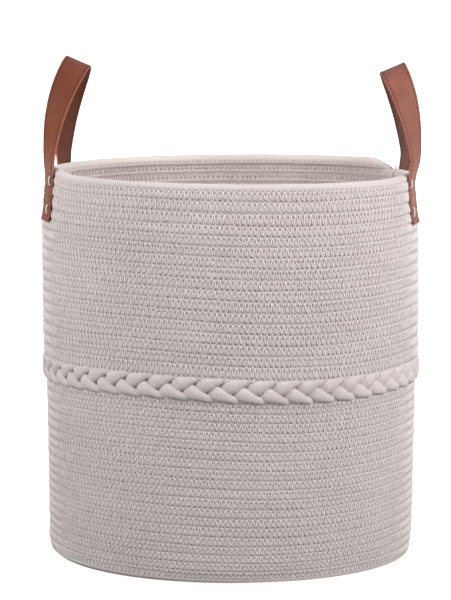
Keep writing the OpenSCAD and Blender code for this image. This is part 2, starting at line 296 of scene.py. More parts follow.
def new_mesh(name, verts, quads, uvs):
    mesh = bpy.data.meshes.new(name)
    mesh.vertices.add(len(verts))
    mesh.vertices.foreach_set("co", np.asarray(verts, np.float32).ravel())
    mesh.loops.add(quads.size)
    mesh.loops.foreach_set("vertex_index", quads.astype(np.int32).ravel())
    mesh.polygons.add(len(quads))
    mesh.polygons.foreach_set("loop_start", np.arange(0, quads.size, 4, dtype=np.int32))
    mesh.update(calc_edges=True)
    mesh.polygons.foreach_set("use_smooth", np.ones(len(quads), bool))
    mesh.uv_layers.new(name="fibre").data.foreach_set("uv", np.asarray(uvs, np.float32).ravel())
    mesh.update()
    piece = bpy.data.objects.new(name, mesh)
    bpy.context.scene.collection.objects.link(piece)
    return piece


def lengths(points):
    """How far along a line of points each point lies."""
    return np.concatenate([[0], np.cumsum(np.linalg.norm(np.diff(points, axis=0), axis=1))])


def tube_quads(n, s, closed=False):
    rows = np.arange(n if closed else n - 1)[:, None]
    cols = np.arange(s)[None, :]
    row, next_row = rows * s, (rows + 1) % n * s
    next_col = (cols + 1) % s
    return np.stack([row + cols, row + next_col, next_row + next_col, next_row + cols], -1).reshape(-1, 4)


def tube_uvs(along, around):
    """The same quads' corners, in metres along the tube and round it."""
    u = np.stack([along[:-1], along[:-1], along[1:], along[1:]], -1)[:, None]
    v = np.stack([around[:-1], around[1:], around[1:], around[:-1]], -1)[None]
    return np.stack(np.broadcast_arrays(u, v), -1).reshape(-1, 4, 2)


def sweep(name, rings, closed=False):
    """A tube through rings of points (n, s, 3), with its ends closed unless it is a loop.
    Its UV map runs in metres, along the tube and round it."""
    n, s = rings.shape[:2]
    quads = tube_quads(n, s, closed)
    middle = rings.mean(1)
    half_way = rings[n // 2]
    uvs = tube_uvs(lengths(np.concatenate([middle, middle[:1]]) if closed else middle),
                   lengths(np.concatenate([half_way, half_way[:1]])))
    if not closed:
        k = np.arange(s // 2 - 1)
        cap = np.stack([k, s - 1 - k, s - 2 - k, k + 1], -1)
        last = (n - 1) * s + cap[:, ::-1]
        quads = np.concatenate([quads, cap, last])
        uvs = np.concatenate([uvs, np.zeros((2 * len(cap), 4, 2))])
    points = rings.reshape(-1, 3)
    corners = points[quads[0]]
    face = np.cross(corners[1] - corners[0], corners[3] - corners[0])
    if face @ (corners.mean(0) - middle[:2].mean(0)) < 0:
        quads, uvs = quads[:, ::-1], uvs[:, ::-1]
    return new_mesh(name, points, quads, uvs)


def paint(piece, name, values):
    """Stores one number for each vertex, which the materials read."""
    layer = piece.data.attributes.new(name, "FLOAT", "POINT")
    layer.data.foreach_set("value", np.asarray(values, np.float32).ravel())


def finish_piece(piece, body, slot, material, *nodes):
    piece.data.materials.append(material)
    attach(piece, body)
    if nodes:
        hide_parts(*nodes)
    return piece


def unit(v):
    return v / np.linalg.norm(v, axis=-1, keepdims=True)


def thread_rings(points, out, diameter, sides):
    """Rings round a line of points, given the direction that faces out of the surface at each."""
    along = unit(np.gradient(points, axis=0))
    across = unit(np.cross(out, along))
    up = np.cross(along, across)
    turn = np.arange(sides) * 2 * math.pi / sides + math.pi / sides
    return (points[:, None] + diameter / 2 * (across[:, None] * np.cos(turn)[None, :, None]
                                              + up[:, None] * np.sin(turn)[None, :, None]))


# ---- materials ---------------------------------------------------------------------------------


class Nodes:
    """A material's node tree, written as nested calls."""

    def __init__(self, name, roughness, **inputs):
        self.material = bpy.data.materials.new(name)
        self.material.use_nodes = True
        self.tree = self.material.node_tree
        self.shader = self.tree.nodes["Principled BSDF"]
        self.shader.inputs["Roughness"].default_value = roughness
        for key, value in inputs.items():
            self.shader.inputs[key.replace("_", " ")].default_value = value

    def put(self, socket, value):
        if isinstance(value, bpy.types.NodeSocket):
            self.tree.links.new(value, socket)
        elif isinstance(value, tuple) and socket.type == "RGBA":
            socket.default_value = (*value, 1)
        else:
            socket.default_value = value

    def node(self, kind, output, settings=(), **inputs):
        made = self.tree.nodes.new(kind)
        for key, value in dict(settings).items():
            setattr(made, key, value)
        for key, value in inputs.items():
            index = int(key[1:]) if key[0] == "i" and key[1:].isdigit() else key.replace("_", " ")
            self.put(made.inputs[index], value)
        return made.outputs[output]

    def math(self, operation, a, b=0.0, c=0.0):
        return self.node("ShaderNodeMath", 0, {"operation": operation}, i0=a, i1=b, i2=c)

    def attribute(self, name):
        return self.node("ShaderNodeAttribute", "Fac", {"attribute_name": name})

    def place(self):
        return self.node("ShaderNodeTexCoord", "Object")

    def fibre(self):
        return self.node("ShaderNodeUVMap", "UV", {"uv_map": "fibre"})

    def noise(self, where, scale, detail=3.0, output="Fac"):
        return self.node("ShaderNodeTexNoise", output, Vector=where, Scale=scale, Detail=detail)

    def stretched(self, where, x, y, z=1.0):
        return self.node("ShaderNodeMapping", "Vector", Vector=where, Scale=(x, y, z))

    def remap(self, value, low, high, to_low, to_high):
        return self.node("ShaderNodeMapRange", "Result", Value=value, From_Min=low, From_Max=high,
                         To_Min=to_low, To_Max=to_high)

    def blend(self, share, a, b, kind="MIX"):
        return self.node("ShaderNodeMix", 2, {"data_type": "RGBA", "blend_type": kind}, i0=share, i6=a, i7=b)

    def bump(self, height, strength, distance, normal=None):
        made = self.tree.nodes.new("ShaderNodeBump")
        made.inputs["Strength"].default_value = strength
        made.inputs["Distance"].default_value = distance
        self.put(made.inputs["Height"], height)
        if normal is not None:
            self.put(made.inputs["Normal"], normal)
        return made.outputs["Normal"]

    def done(self, colour, normal=None, roughness=None):
        self.put(self.shader.inputs["Base Color"], colour)
        if normal is not None:
            self.put(self.shader.inputs["Normal"], normal)
        if roughness is not None:
            self.put(self.shader.inputs["Roughness"], roughness)
        return self.material


class World(Nodes):
    """The same for the light from all round."""

    def __init__(self, name):
        world = bpy.data.worlds.new(name)
        world.use_nodes = True
        self.tree = world.node_tree
        self.shader = self.tree.nodes["Background"]
        bpy.context.scene.world = world


def cotton(name, colour, shade, painted_light_inside, rib, rib_slant):
    """Knitted cotton sleeve: fine ribs across the rope with painted shade in their valleys, fuzz, painted
    shade in a needle hole where 'hole' is 1, and the wall's inner face painted paler as painted light where
    'inside' is 1."""
    n = Nodes(name, 0.92, Sheen_Weight=0.25, Sheen_Roughness=0.5, Specular_IOR_Level=0.2)
    fibre, place = n.fibre(), n.place()
    parts = n.node("ShaderNodeSeparateXYZ", 0, Vector=fibre)
    around = parts.node.outputs[1]
    wander = n.noise(place, 260.0, 2.0)
    phase = n.math("ADD", n.math("MULTIPLY", parts, 2 * math.pi / rib),
                   n.math("ADD", n.math("MULTIPLY", around, rib_slant * 2 * math.pi / rib),
                          n.math("MULTIPLY", wander, 5.0)))
    ribs = n.math("SINE", phase)
    cross = n.math("SINE", n.math("MULTIPLY", around, 2 * math.pi / (rib * 1.15)))
    knit = n.math("ADD", ribs, n.math("MULTIPLY", n.math("MULTIPLY", ribs, cross), 0.6))
    fuzz = n.noise(place, 1500.0, 4.0)
    normal = n.bump(knit, 0.8, 0.22 * MM)
    normal = n.bump(fuzz, 0.5, 0.35 * MM, normal)
    cloud = n.noise(n.stretched(place, 1, 1, 3.0), 9.0, 3.0)
    fleck = n.noise(place, 420.0, 3.0)
    tone = n.blend(n.remap(cloud, 0.35, 0.65, 0.0, 1.0), colour, shade)
    # The wall's inner face is painted paler: painted light.
    tone = n.blend(n.attribute("inside"), tone, painted_light_inside)
    tone = n.blend(n.remap(fleck, 0.55, 0.75, 0.0, 0.22), tone, tuple(c * 0.72 for c in shade))
    # The ribs' valleys are darkened: painted shade.
    tone = n.blend(n.remap(knit, -1.0, 0.4, 0.24, 0.0), tone, tuple(c * 0.6 for c in shade))
    # Needle holes are darkened almost to black: painted shade.
    tone = n.blend(n.math("MULTIPLY", n.attribute("hole"), 0.92), tone,
                   (shade[0] * 0.26, shade[1] * 0.19, shade[2] * 0.17))
    return n.done(tone, normal)


def twisted(name, colour, shade, twist, roughness, sheen=0.2):
    """Laid thread or cord: its plies show as slanting bands, with painted shade in the grooves between them.
    """
    n = Nodes(name, roughness, Sheen_Weight=sheen, Sheen_Roughness=0.4, Specular_IOR_Level=0.25)
    fibre, place = n.fibre(), n.place()
    parts = n.node("ShaderNodeSeparateXYZ", 0, Vector=fibre)
    phase = n.math("ADD", n.math("MULTIPLY", parts, 2 * math.pi / twist),
                   n.math("MULTIPLY", parts.node.outputs[1], 2 * math.pi / (twist * 0.9)))
    ply = n.math("SINE", phase)
    # The grooves between plies are darkened: painted shade.
    tone = n.blend(n.remap(ply, -1.0, 0.6, 0.55, 0.0), colour, shade)
    tone = n.blend(n.remap(n.noise(place, 70.0), 0.4, 0.7, 0.0, 0.35), tone, shade)
    return n.done(tone, n.bump(ply, 0.6, twist * 0.12))


def leather(name, colour, dark, other, edge_colour, grain_depth, roughness):
    """Grained leather: pebbles, creases across the strap with painted shade in their hollows, rubbed redder
    edges, and painted shade in punched holes where 'hole' is 1. The strap at +X is painted lighter and pinker
    with 'other': painted sheen."""
    n = Nodes(name, roughness, Specular_IOR_Level=0.25)
    place = n.place()
    cells = n.node("ShaderNodeTexVoronoi", "Distance", {"feature": "SMOOTH_F1"}, Vector=place, Scale=900.0)
    fine = n.noise(place, 2200.0, 3.0)
    crease = n.noise(n.stretched(place, 1, 1, 2.6), 330.0, 4.0)
    cloud = n.noise(place, 28.0, 3.0)
    grain = n.math("ADD", n.math("MULTIPLY", cells, 0.7), n.math("MULTIPLY", crease, 0.9))
    normal = n.bump(grain, 0.5, grain_depth)
    normal = n.bump(fine, 0.35, grain_depth * 0.5, normal)
    # The strap at +X takes the lighter colour 'other': painted sheen from the light on that side.
    right = n.remap(n.node("ShaderNodeSeparateXYZ", 0, Vector=place), -0.02, 0.02, 0.0, 1.0)
    tone = n.blend(n.remap(cloud, 0.32, 0.68, 0.0, 1.0), n.blend(right, colour, other),
                   n.blend(right, dark, tuple(0.75 * c for c in other)))
    # The creases' hollows are darkened: painted shade.
    tone = n.blend(n.remap(crease, 0.5, 0.75, 0.0, 0.35), tone, tuple(c * 0.6 for c in dark))
    worn = n.math("MULTIPLY", n.attribute("edge"), n.remap(n.noise(place, 160.0), 0.3, 0.7, 0.55, 1.0))
    tone = n.blend(worn, tone, edge_colour)
    # Punched holes and needle punctures are darkened almost to black: painted shade.
    tone = n.blend(n.math("MULTIPLY", n.attribute("hole"), 0.85), tone, tuple(c * 0.15 for c in dark))
    rough = n.remap(n.math("ADD", n.math("MULTIPLY", cloud, 0.5), n.math("MULTIPLY", grain, 0.4)),
                    0.3, 0.9, roughness - 0.08, roughness + 0.12)
    return n.done(tone, normal, rough)


def felt(name, colour):
    n = Nodes(name, 0.95, Specular_IOR_Level=0.15)
    place = n.place()
    fluff = n.remap(n.noise(place, 900.0, 4.0), 0.4, 0.7, 0.0, 0.6)
    tone = n.blend(fluff, colour, tuple(c * 2.2 for c in colour))
    return n.done(tone, n.bump(n.noise(place, 1800.0, 4.0), 0.8, 0.3 * MM))


# The third colour is the wall's inner face painted paler: painted light.
COTTON = cotton("cotton_rope", (0.765, 0.688, 0.676), (0.690, 0.612, 0.598), (0.95, 0.845, 0.81),
                1.5 * MM, 0.35)
SEAM = twisted("seam_thread", (0.87, 0.80, 0.79), (0.74, 0.67, 0.655), 1.1 * MM, 0.8)
# The third colour of each leather is the strap at +X painted lighter: painted sheen.
LEATHER = leather("grained_leather", (0.210, 0.052, 0.022), (0.140, 0.034, 0.015), (0.295, 0.105, 0.075),
                  (0.40, 0.13, 0.085), 0.2 * MM, 0.55)
LINING = leather("lining_leather", (0.185, 0.056, 0.032), (0.125, 0.038, 0.022), (0.245, 0.105, 0.085),
                 (0.40, 0.13, 0.085), 0.07 * MM, 0.6)
STITCHING = twisted("edge_thread", (0.16, 0.052, 0.030), (0.09, 0.030, 0.018), 1.2 * MM, 0.7, 0.0)
PAD = felt("backing_felt", (0.018, 0.015, 0.015))
CORD = twisted("lashing_cord", (0.86, 0.83, 0.78), (0.62, 0.57, 0.52), 1.6 * MM, 0.7)


# ---- the coiled rope and its seams -------------------------------------------------------------


def stitch_angles(radius_at, start, end, seed):
    """Angles of the zigzag's upper needle holes along one seam, a little uneven."""
    even = rope_grid(radius_at, start, end)[::4]
    rng = np.random.default_rng(seed)
    gap = np.gradient(even)
    return even + gap * (0.35 * ripple(even, seed) + rng.uniform(-0.1, 0.1, len(even)))


def zigzag(grid, ends):
    """Snaps a seam's holes to the rope's grid: those in the upper row, and those in the row one turn
    earlier, about half a stitch on. The zigzag leans one way and then the other."""
    upper = nearest(grid, ends)
    middles = (ends[1:] + ends[:-1]) / 2 + 0.22 * np.diff(ends) * ripple(ends[1:] * 3, 9)
    return upper, nearest(grid, middles + TURN)


def seam_line(point_at, grid, upper, lower, face):
    """The zigzag's centre line: out of a hole in the upper row, across the groove and over the lower row's
    crown, into a hole, and back the same way."""
    sunk, high = -0.6 * MM, 0.38 * MM
    a, b, c = grid[upper[:-1]], grid[lower], grid[upper[1:]]
    shares = (0, 0.2, 0.5, 0.85, 1, 1.15, 1.5, 1.8)
    levels = (UPPER_HOLE, -0.62, 0.70, 0.12, LOWER_HOLE, 0.12, 0.70, -0.62)
    lifts = (sunk, high, high, high, sunk, high, high, high)
    line = np.empty((len(b), len(shares), 3))
    for i, (share, level, lift) in enumerate(zip(shares, levels, lifts)):
        angle = mix(a, b - TURN, share) if share <= 1 else mix(b - TURN, c, share - 1)
        on_lower = level > UPPER_HOLE
        line[:, i] = point_at(angle + TURN * on_lower, np.full(len(b), level), face, lift)
    return line.reshape(-1, 3)


def outward(points, face):
    return unit(points * (1, 1, 0)) * face


# A rope is cut into pieces of so many turns, unless the last piece would have fewer rings than this
TURNS_EACH = 5
FEWEST_RINGS = 500


def dent(rings, hole, centres):
    """Pulls the rope in at its needle holes."""
    towards = centres[:, None] - rings
    share = HOLE_DEPTH / np.maximum(np.linalg.norm(towards, axis=-1, keepdims=True), MM)
    return rings + towards * share * hole[..., None]


def wind_rope(name, point_at, grid, hole, node, paint_light_inside=True):
    """Builds a rope as pieces of a few turns each, end to end."""
    shape = np.broadcast_to(grid[:, None], (len(grid), len(LEVELS)))
    rings = point_at(shape, LEVELS[None, :], FACES[None, :])
    rings = dent(rings, hole, rings.mean(1))
    cuts = [*np.searchsorted(grid, np.arange(grid[0], grid[-1], TURN * TURNS_EACH)), len(grid) - 1]
    if cuts[-1] - cuts[-2] < FEWEST_RINGS and len(cuts) > 2:
        cuts.pop(-2)
    for i, (first, last) in enumerate(zip(cuts[:-1], cuts[1:])):
        rows = slice(first, last + 1)
        part = sweep(f"{name}_{i + 1}" if len(cuts) > 2 else name, rings[rows])
        # 'hole' marks the needle holes, which are dented and darkened with painted shade.
        paint(part, "hole", hole[rows])
        # 'inside' marks the inner face, which the material paints paler as painted light.
        paint(part, "inside", np.broadcast_to(paint_light_inside * (FACES < 0), hole[rows].shape))
        finish_piece(part, "basket", "cotton_rope", COTTON, node)


def columns(level):
    """The rope's columns at a level, outside and inside."""
    return [i for i, value in enumerate(LEVELS) if value == level]


def mark(hole, upper, lower):
    """Marks a seam's needle holes on both faces of the rope."""
    for rows, level in ((upper, UPPER_HOLE), (lower, LOWER_HOLE)):
        for column in columns(level):
            hole[rows, column] = 1


def sew(name, line, face, node):
    piece = sweep(name, thread_rings(line, outward(line, face), THREAD_D, 6))
    finish_piece(piece, "basket", "seam_thread", SEAM, node)


def sew_parts(name, node, point_at, grid, upper, lower, first, last, parts):
    """Sews the stitches from first to last on both faces, in parts end to end."""
    cuts = np.linspace(first, last, parts + 1).astype(int)
    for face, side in ((1, "outer"), (-1, "inner")):
        for i, (start, stop) in enumerate(zip(cuts[:-1], cuts[1:])):
            line = seam_line(point_at, grid, upper[start:stop + 1], lower[start:stop], face)
            sew(f"{name}_{side}_{i + 1}", line, face, node)


def upper_point(angle, level, face, lift=0.0):
    return row_point(upper_rope, angle, level, face, lift)


def lower_point(angle, level, face, lift=0.0):
    return row_point(lower_rope, angle, level, face, lift)


def upper_radius(angle):
    return np.full_like(angle, WALL_R - UPPER_T / 2)


def lower_radius(angle):
    return np.full_like(angle, LOWER_WALL_R - BASE_T / 2)


UPPER_GRID = rope_grid(upper_radius, RIM_END, UPPER_START)
LOWER_GRID = rope_grid(lower_radius, STEP_LOW, LOWER_START)
BASE_GRID = rope_grid(base_r, LOWER_START, CORE_END)
upper_hole = np.zeros((len(UPPER_GRID), len(LEVELS)))
lower_hole = np.zeros((len(LOWER_GRID), len(LEVELS)))
base_hole = np.zeros((len(BASE_GRID), len(LEVELS)))


# A seam starts and ends this many degrees from the ends of the rope that it sews
SEAM_MARGIN = 3
BASE_SEAM_MARGIN = 5


def build_upper():
    ends = stitch_angles(upper_radius, RIM_END + SEAM_MARGIN, UPPER_START - TURN - SEAM_MARGIN, 11)
    upper, lower = zigzag(UPPER_GRID, ends)
    mark(upper_hole, upper, lower)
    first = int(np.argmax(UPPER_GRID[upper] >= RIM_END + TURN))
    sew_parts("rim_seam", "rim_seam_thread", upper_point, UPPER_GRID, upper, lower, 0, first, 1)
    sew_parts("upper_seam", "upper_wall_seam_thread", upper_point, UPPER_GRID, upper, lower,
              first, len(lower), 2)


def build_lower():
    ends = stitch_angles(lower_radius, STEP_LOW + SEAM_MARGIN, LOWER_START - TURN - SEAM_MARGIN, 12)
    upper, lower = zigzag(LOWER_GRID, ends)
    mark(lower_hole, upper, lower)
    sew_parts("lower_seam", "lower_wall_seam_thread", lower_point, LOWER_GRID, upper, lower,
              0, len(lower), 3)


def build_base():
    ends = stitch_angles(base_r, LOWER_START + 1, BASE_END - TURN - BASE_SEAM_MARGIN, 13)
    upper, lower = zigzag(BASE_GRID, ends)
    mark(base_hole, upper, lower)
    for face, side in ((1, "top"), (-1, "underside")):
        line = seam_line(base_point, BASE_GRID, upper, lower, face)
        if face < 0:
            line[:, 2] = np.maximum(line[:, 2], 0.85 * THREAD_D)
        up = np.broadcast_to(np.array([0.0, 0, face]), line.shape)
        rings = thread_rings(line, up, THREAD_D, 5)
        finish_piece(sweep(f"base_seam_{side}", rings), "basket", "seam_thread", SEAM, "base_seam_thread")


# ---- the plait ---------------------------------------------------------------------------------

REPEATS = 16
PLAIT_R = WALL_R - 6.5 * MM
PLAIT_MIDDLE = (LOWER_TOP + UPPER_BOTTOM) / 2 - 1.2 * MM
# Where the plait's wave starts, and where along it a strand dives under the next one
PLAIT_TURN = 30
DIVE = math.radians(157)
STRAND_WAVE = 9.2 * MM
STRAND_OFF = 0.5 * MM
STRAND_DIVE = 3.7 * MM
STRAND_HALF_W = 5.3 * MM
STRAND_HALF_T = 3.9 * MM
STRAND_SIDES = 16
STRAND_RINGS = REPEATS * 40


def strand_point(strand, azimuth):
    """Centre line of one of the three strands, and how far along its wave it is. It runs slowly from the
    middle to an edge on the outside, and comes back fast under the next strand."""
    t = np.radians(REPEATS * azimuth + 120 * strand + PLAIT_TURN)
    r = PLAIT_R + STRAND_OFF + STRAND_DIVE * (1 - 2 * np.cos(t - DIVE) ** 6)
    r = r + 0.15 * MM * ripple(azimuth, 20 + strand)
    pitch = (UPPER_PITCH + LOWER_PITCH) / 2
    z = PLAIT_MIDDLE + STRAND_WAVE * np.sin(t - 0.5 * np.sin(t) ** 2) + pitch * plait_step(azimuth)
    z = z + 0.2 * MM * ripple(azimuth, 30 + strand)
    a = np.radians(azimuth)
    return np.stack([r * np.cos(a), r * np.sin(a), z], -1), t


def strand_rings(strand):
    """Rings along a strand: fat where it comes up in the middle, and thin where it is sewn to the wall."""
    azimuth = np.linspace(0, 360, STRAND_RINGS, endpoint=False)
    middle, t = strand_point(strand, azimuth)
    along = unit(strand_point(strand, azimuth + 0.05)[0] - strand_point(strand, azimuth - 0.05)[0])
    across = unit(np.cross(unit(middle * (1, 1, 0)), along))
    out = np.cross(along, across)
    fat = 1 + 0.33 * np.cos(2 * t - 0.75) + 0.03 * ripple(azimuth * 20, 50 + strand)
    turn = np.arange(STRAND_SIDES) * 2 * math.pi / STRAND_SIDES
    flat_x = np.sign(np.cos(turn)) * np.abs(np.cos(turn)) ** 0.9
    flat_y = np.sign(np.sin(turn)) * np.abs(np.sin(turn)) ** 0.8
    return (middle[:, None]
            + across[:, None] * (STRAND_HALF_W * fat[:, None] * flat_x[None])[..., None]
            + out[:, None] * (STRAND_HALF_T * fat[:, None] ** 0.5 * flat_y[None])[..., None])


def build_strands():
    """Makes the strands, and gives a tree for finding the plait's surface."""
    strands = [strand_rings(k) for k in range(3)]
    for k, rings in enumerate(strands):
        piece = sweep(f"plait_strand_{k + 1}_rope", settle(rings), closed=True)
        paint(piece, "hole", np.zeros(rings.shape[:2]))
        finish_piece(piece, "basket", "cotton_rope", COTTON, f"plait_strand_{k + 1}")
    quads = tube_quads(STRAND_RINGS, STRAND_SIDES, closed=True)
    quads = np.concatenate([quads + k * STRAND_RINGS * STRAND_SIDES for k in range(3)])
    return BVHTree.FromPolygons(np.concatenate(strands).reshape(-1, 3).tolist(), quads.tolist())


def plait_surface(tree, azimuth, z, face, lift):
    """Points on the plait's outer or inner surface, and none deeper than near its middle line."""
    reach, least = 30 * MM, 1.0 * MM
    found = []
    for a, height in zip(np.radians(azimuth), z):
        direction = Vector((math.cos(a), math.sin(a), 0))
        origin = direction * (PLAIT_R + face * reach) + Vector((0, 0, height))
        hit = tree.ray_cast(origin, direction * -face, reach)[0]
        r = hit.xy.length if hit else PLAIT_R
        if face * (r - PLAIT_R) < least:
            r = PLAIT_R + face * least
        found.append(direction * (r + face * lift) + Vector((0, 0, height)))
    return np.array(found)


def plait_seam(name, tree, point_at, grid, hole, start, level, away, pitch, edge):
    """A zigzag from the row beside the plait, at its hole line, onto the plait's edge."""
    even = stitch_angles(upper_radius, start, start + 359, 40 + int(away))
    on_row = nearest(grid, even)
    for column in columns(level):
        hole[on_row, column] = 1
    middles = (even[1:] + even[:-1]) / 2
    on_plait = edge + pitch * plait_step(middles) + away * 2.6 * MM
    start_hole, end_hole = grid[on_row[:-1]], grid[on_row[1:]]
    in_hole = np.full(len(middles), level)
    by_edge = np.full(len(middles), 0.62 * np.sign(level))
    for face, side in ((1, "outer"), (-1, "inner")):
        line = np.empty((len(middles), 4, 3))
        line[:, 0] = point_at(start_hole, in_hole, face, -0.55 * MM)
        line[:, 1] = point_at(mix(start_hole, middles, 0.3), by_edge, face, 0.15 * MM)
        line[:, 2] = settle(plait_surface(tree, middles, on_plait, face, -0.3 * MM))
        line[:, 3] = point_at(mix(middles, end_hole, 0.7), by_edge, face, 0.15 * MM)
        sew(f"{name}_{side}", line.reshape(-1, 3), face, f"{name}_thread")


def build_plait():
    tree = build_strands()
    plait_seam("plait_upper_seam", tree, upper_point, UPPER_GRID, upper_hole,
               STEP_LOW + TURN * UPPER_ROWS + 0.5, UPPER_HOLE, -1, UPPER_PITCH, UPPER_BOTTOM)
    plait_seam("plait_lower_seam", tree, lower_point, LOWER_GRID, lower_hole,
               STEP_HIGH + 0.5, -UPPER_HOLE, 1, LOWER_PITCH, LOWER_TOP)


def build_ropes():
    """The rim's turn is a piece of its own, and the rest of the upper rope starts where it ends."""
    rim_length = int(np.searchsorted(UPPER_GRID, RIM_END + TURN))
    for name, rows, node in (("rim_rope_turn", slice(0, rim_length + 1), "rim_rope"),
                             ("upper_rope", slice(rim_length, None), "upper_wall_coil")):
        wind_rope(name, upper_point, UPPER_GRID[rows], upper_hole[rows], node)
    wind_rope("lower_rope", lower_point, LOWER_GRID, lower_hole, "lower_wall_coil")
    wind_rope("base_rope", base_point, BASE_GRID, base_hole, "base_coil", paint_light_inside=False)


# The seams mark their holes first, because the ropes are dented there
build_upper()
build_lower()
build_base()
build_plait()
build_ropes()


# ---- the handles -------------------------------------------------------------------------------

STRAP_W = 28 * MM
LEATHER_T = 1.2 * MM
GLUE_GAP = 0.02 * MM
# The surface between the strap's two leathers stands this far off the wall, and the wall part ends here
GLUE_OFF = 2.0 * MM
WALL_PART_TOP = HEIGHT - 16 * MM
END_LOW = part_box("left_front_end_leather")[0].z
FOLD_Z = HEIGHT - 3 * MM
LEAN_POWER = 2.2
SET_IN_H = 6 * MM
CROWN_TIP = math.radians(23)
TWIST_POWER = 0.75
EDGE_ROW = STRAP_W / 2 - 2.4 * MM
EDGE_STITCH = 4.9 * MM
EDGE_THREAD_D = 0.6 * MM
LASHING_TURN = math.radians(2)
LASHINGS = (HEIGHT - 12 * MM, HEIGHT - 41 * MM)
LASHING_L = 9 * MM
CORD_D = 1.9 * MM
# The loop leaves the rim this far off it, and bends over above it
LOOP_OFF = 1.85 * MM
UP = np.array([0.0, 0, 1])


def wall_face(azimuth, z):
    return upper_wall_r(z) + swell(azimuth, z / HEIGHT)


def smooth_line(points, step):
    """A curve through points (n, k) whose first three columns are places, resampled every step."""
    length = lengths(points[:, :3])
    slope = np.gradient(points, length, axis=0)
    at = np.linspace(0, length[-1], int(length[-1] / step))
    i = np.clip(np.searchsorted(length, at) - 1, 0, len(length) - 2)
    span = (length[i + 1] - length[i])[:, None]
    x = (at - length[i])[:, None] / span
    return ((1 + 2 * x) * (1 - x) ** 2 * points[i] + x**2 * (3 - 2 * x) * points[i + 1]
            + x * (1 - x) ** 2 * span * slope[i] + x**2 * (x - 1) * span * slope[i + 1])


